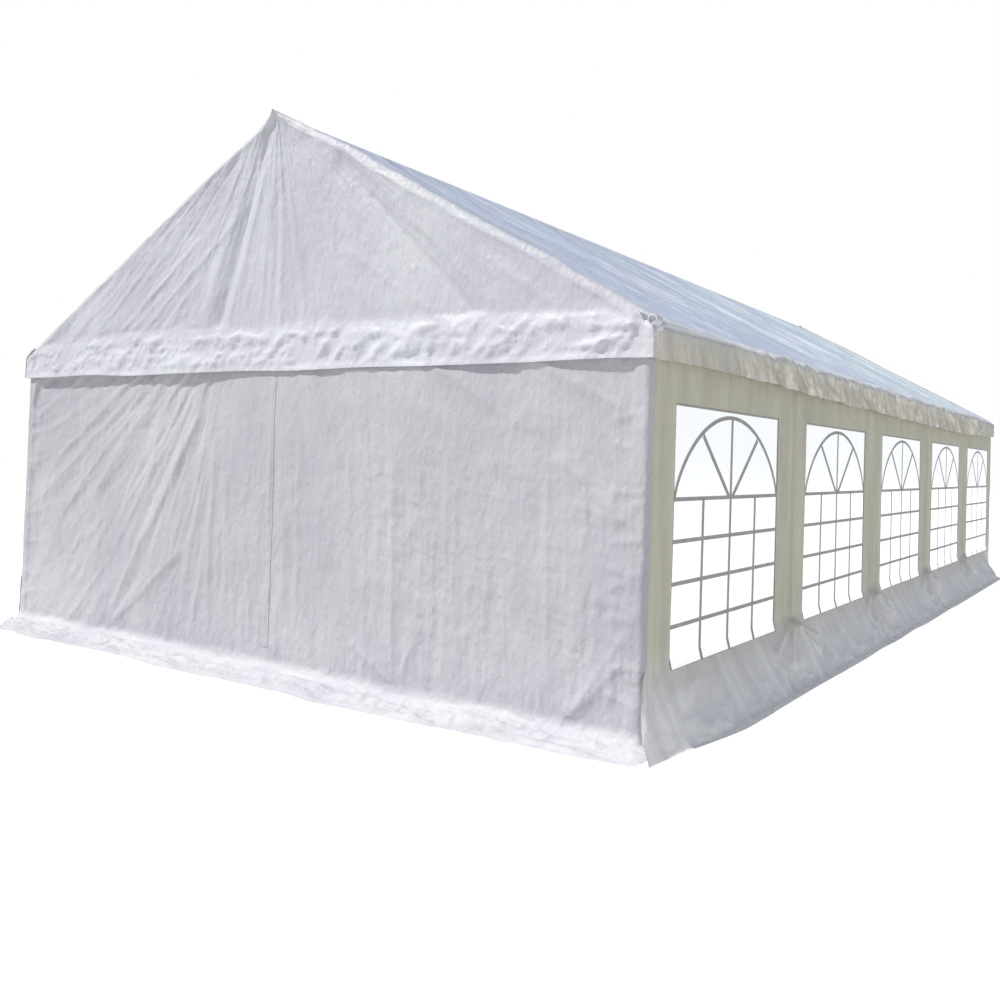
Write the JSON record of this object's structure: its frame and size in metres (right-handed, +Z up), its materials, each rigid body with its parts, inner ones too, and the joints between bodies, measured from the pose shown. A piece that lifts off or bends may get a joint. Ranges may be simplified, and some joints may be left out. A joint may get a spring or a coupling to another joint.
{
  "type": "marquee tent",
  "caption": "White fabric marquee tent with a pitched roof, plain gable ends and arched windows along both long sides, on a steel tube frame.",
  "frame": {"origin": "on the ground, under the middle of the ridge", "axes": "+Z up, +Y along the ridge away from the front gable, +X to the right of someone who faces the front gable from outside"},
  "size_m": [5.48, 10.66, 3.29],
  "materials": {
    "roof_cover": "woven polyethylene tarpaulin, coated, satin",
    "gable_cover": "woven polyethylene tarpaulin, coated, creased",
    "end_wall": "woven polyethylene tarpaulin, coated, creased",
    "side_wall": "woven polyethylene tarpaulin, coated, creased",
    "zip_tape": "woven tape over a zip, white",
    "window_film": "milky clear vinyl film",
    "window_bars": "grey printed or welded bars",
    "steel_frame": "galvanised"
  },
  "bodies": {
    "root": {"roof_cover": "roof_cover", "front_gable_cover": "gable_cover", "rear_gable_cover": "gable_cover", "front_wall_left": "end_wall", "front_wall_right": "end_wall", "front_zip_flap": "zip_tape", "rear_wall_left": "end_wall", "rear_wall_right": "end_wall", "rear_zip_flap": "zip_tape", "left_wall_panel_1": "side_wall", "left_window_1": "window_film", "left_wall_panel_2": "side_wall", "left_window_2": "window_film", "left_wall_panel_3": "side_wall", "left_window_3": "window_film", "left_wall_panel_4": "side_wall", "left_window_4": "window_film", "left_wall_panel_5": "side_wall", "left_window_5": "window_film", "right_wall_panel_1": "side_wall", "right_window_1": "window_film", "right_wall_panel_2": "side_wall", "right_window_2": "window_film", "right_wall_panel_3": "side_wall", "right_window_3": "window_film", "right_wall_panel_4": "side_wall", "right_window_4": "window_film", "right_wall_panel_5": "side_wall", "right_window_5": "window_film", "portal_frame_1": "steel_frame", "portal_frame_2": "steel_frame", "portal_frame_3": "steel_frame", "portal_frame_4": "steel_frame", "portal_frame_5": "steel_frame", "portal_frame_6": "steel_frame", "ridge_pole": "steel_frame", "eave_pole_left": "steel_frame", "eave_pole_right": "steel_frame", "base_rail_left": "steel_frame", "base_rail_right": "steel_frame", "base_rail_front": "steel_frame", "base_rail_rear": "steel_frame", "tie_beam_front": "steel_frame", "tie_beam_rear": "steel_frame"}
  },
  "joints": []
}
